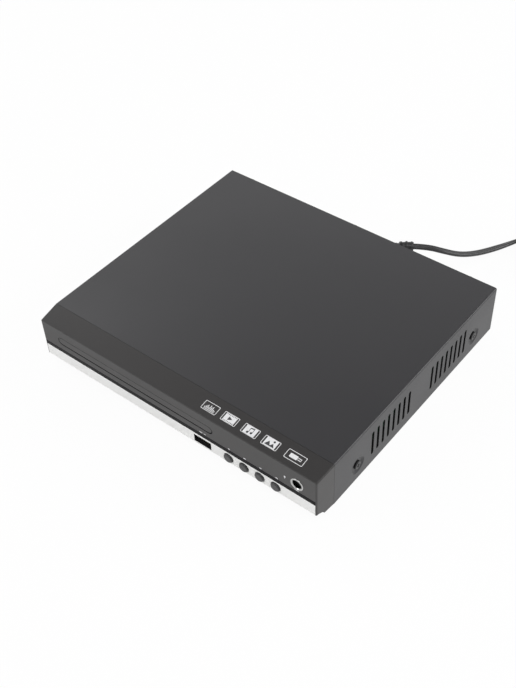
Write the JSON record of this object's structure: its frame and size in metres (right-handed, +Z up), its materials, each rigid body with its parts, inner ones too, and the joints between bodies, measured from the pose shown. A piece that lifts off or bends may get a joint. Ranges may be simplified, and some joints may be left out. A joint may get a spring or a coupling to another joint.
{
  "type": "dvd player",
  "caption": "Low disc player with a sliding tray, sloped front lip, pale trim strip with round keys and USB, microphone jack, vented steel cover, rear sockets and a tied mains cord.",
  "frame": {"origin": "middle of the player's footprint without the cord, on the surface that the feet stand on", "axes": "+X to the right of someone facing the front, +Y from the front to the back, +Z up"},
  "size_m": [0.3208, 0.3452, 0.0414],
  "materials": {
    "cover_paint": "fine satin powder coat",
    "pan_steel": "zinc plated sheet",
    "bezel_plastic": "fine moulded grain",
    "window_smoke": "smoked, glossy",
    "trim_silver": "pale silver lacquer",
    "button_black": "moulded, slightly glossy",
    "foot_rubber": "matt",
    "screw_black": "black oxide",
    "screw_zinc": "zinc plated",
    "nickel": "bright nickel",
    "board_green": "solder resist",
    "part_black": "moulded",
    "receiver_dark": "dark epoxy",
    "tray_black": "fine moulded grain",
    "frame_black": "moulded",
    "gear_white": "acetal",
    "belt_rubber": "matt",
    "motor_steel": "plated can",
    "traverse_metal": "pressed plate",
    "rod_steel": "ground rod",
    "sled_plastic": "glass-filled",
    "lens_glass": "coated",
    "sink_alloy": "extruded",
    "core_ferrite": "ferrite and tape",
    "capacitor_sleeve": "shrink sleeve",
    "socket_black": "moulded",
    "insulator_colour": "moulded",
    "ribbon_white": "flat cable",
    "wire_brown": "insulated",
    "cord_black": "soft PVC",
    "tie_black": "strap",
    "pin_metal": "plated"
  },
  "bodies": {
    "chassis": {"bottom_chassis": "pan_steel", "top_cover": "cover_paint", "front_bezel": "bezel_plastic", "smoked_window": "window_smoke", "front_trim_strip": "trim_silver", "rubber_feet": "foot_rubber", "side_screws": "screw_black", "rear_screws": "screw_black", "tact_switches": "part_black", "front_board": "board_green", "remote_receiver": "receiver_dark", "usb_socket": "nickel", "usb_tongue": "part_black", "mic_jack_bushing": "nickel", "mic_jack_body": "socket_black", "drive_belt": "belt_rubber", "loading_motor": "motor_steel", "loader_frame": "frame_black", "clamp_bridge": "pan_steel", "loader_screws": "screw_zinc", "main_board": "board_green", "power_board": "board_green", "av_board": "board_green", "board_screws": "screw_zinc", "decoder_heat_sink": "sink_alloy", "power_transformer": "core_ferrite", "capacitors": "capacitor_sleeve", "rca_block": "socket_black", "rca_sleeves": "nickel", "rca_insulators": "insulator_colour", "hdmi_socket": "nickel", "ribbon_cable": "ribbon_white", "mains_wires": "wire_brown", "strain_relief": "cord_black", "power_cord": "cord_black", "cord_coil": "cord_black", "cord_tie": "tie_black", "mains_plug": "cord_black", "plug_pins": "pin_metal"},
    "tray": {"disc_tray": "tray_black", "tray_door": "bezel_plastic"},
    "drive_gear": {"drive_gear": "gear_white"},
    "pulley_gear": {"pulley_gear": "gear_white"},
    "motor_pulley": {"motor_pulley": "gear_white"},
    "cam": {"cam_slider": "gear_white"},
    "traverse": {"traverse_plate": "traverse_metal", "guide_rods": "rod_steel", "spindle_motor": "motor_steel", "sled_motor": "motor_steel"},
    "turntable": {"turntable": "part_black"},
    "sled": {"pickup_body": "sled_plastic", "objective_lens": "lens_glass"},
    "lead_screw": {"lead_screw": "rod_steel"},
    "clamp": {"clamp_puck": "part_black"},
    "power_key": {"power_button": "button_black"},
    "play_key": {"play_button": "button_black"},
    "stop_key": {"stop_button": "button_black"},
    "eject_key": {"eject_button": "button_black"}
  },
  "joints": [
    {"name": "tray_slide", "type": "slide", "parent": "chassis", "child": "tray", "axis": [0, -1, 0], "range_m": [0, 0.128]},
    {"name": "drive_spin", "type": "hinge", "parent": "chassis", "child": "drive_gear", "pos_m": [-0.0816, -0.07565, 0.02195], "axis": [0, 0, -1], "range_deg": [0, 1311]},
    {"name": "pulley_spin", "type": "hinge", "parent": "chassis", "child": "pulley_gear", "pos_m": [-0.069, -0.07565, 0.01905], "axis": [0, 0, 1], "range_deg": [0, 3276]},
    {"name": "motor_spin", "type": "hinge", "parent": "chassis", "child": "motor_pulley", "pos_m": [-0.038, -0.07565, 0.01905], "axis": [0, 0, 1], "range_deg": [0, 8951]},
    {"name": "cam_slide", "type": "slide", "parent": "chassis", "child": "cam", "axis": [-1, 0, 0], "range_m": [0, 0.014]},
    {"name": "traverse_tilt", "type": "hinge", "parent": "chassis", "child": "traverse", "pos_m": [-0.0311, 0.04825, 0.02035], "axis": [1, 0, 0], "range_deg": [0, 2.88]},
    {"name": "turntable_spin", "type": "hinge", "parent": "traverse", "child": "turntable", "pos_m": [-0.0311, -0.03575, 0.03105], "axis": [0, 0, 1], "continuous": true},
    {"name": "clamp_spin", "type": "hinge", "parent": "chassis", "child": "clamp", "pos_m": [-0.0311, -0.03575, 0.03255], "axis": [0, 0, 1], "continuous": true},
    {"name": "sled_slide", "type": "slide", "parent": "traverse", "child": "sled", "axis": [0, 1, 0], "range_m": [0, 0.034]},
    {"name": "lead_screw_spin", "type": "hinge", "parent": "traverse", "child": "lead_screw", "pos_m": [-0.0567, -0.02375, 0.01865], "axis": [0, 1, 0], "range_deg": [0, 3061]},
    {"name": "power_press", "type": "slide", "parent": "chassis", "child": "power_key", "axis": [0, 1, 0], "range_m": [0, 0.0008], "stiffness_N_per_m": 400},
    {"name": "play_press", "type": "slide", "parent": "chassis", "child": "play_key", "axis": [0, 1, 0], "range_m": [0, 0.0008], "stiffness_N_per_m": 400},
    {"name": "stop_press", "type": "slide", "parent": "chassis", "child": "stop_key", "axis": [0, 1, 0], "range_m": [0, 0.0008], "stiffness_N_per_m": 400},
    {"name": "eject_press", "type": "slide", "parent": "chassis", "child": "eject_key", "axis": [0, 1, 0], "range_m": [0, 0.0008], "stiffness_N_per_m": 400}
  ],
  "couplings": [
    {"joint": "drive_spin", "follows": "tray_slide", "rad_per_m": 178.57},
    {"joint": "pulley_spin", "follows": "tray_slide", "rad_per_m": 446.43},
    {"joint": "motor_spin", "follows": "tray_slide", "rad_per_m": 1220.2},
    {"joint": "traverse_tilt", "follows": "cam_slide", "rad_per_m": 3.56},
    {"joint": "clamp_spin", "follows": "turntable_spin", "ratio": 1},
    {"joint": "lead_screw_spin", "follows": "sled_slide", "rad_per_m": 1570.8}
  ]
}
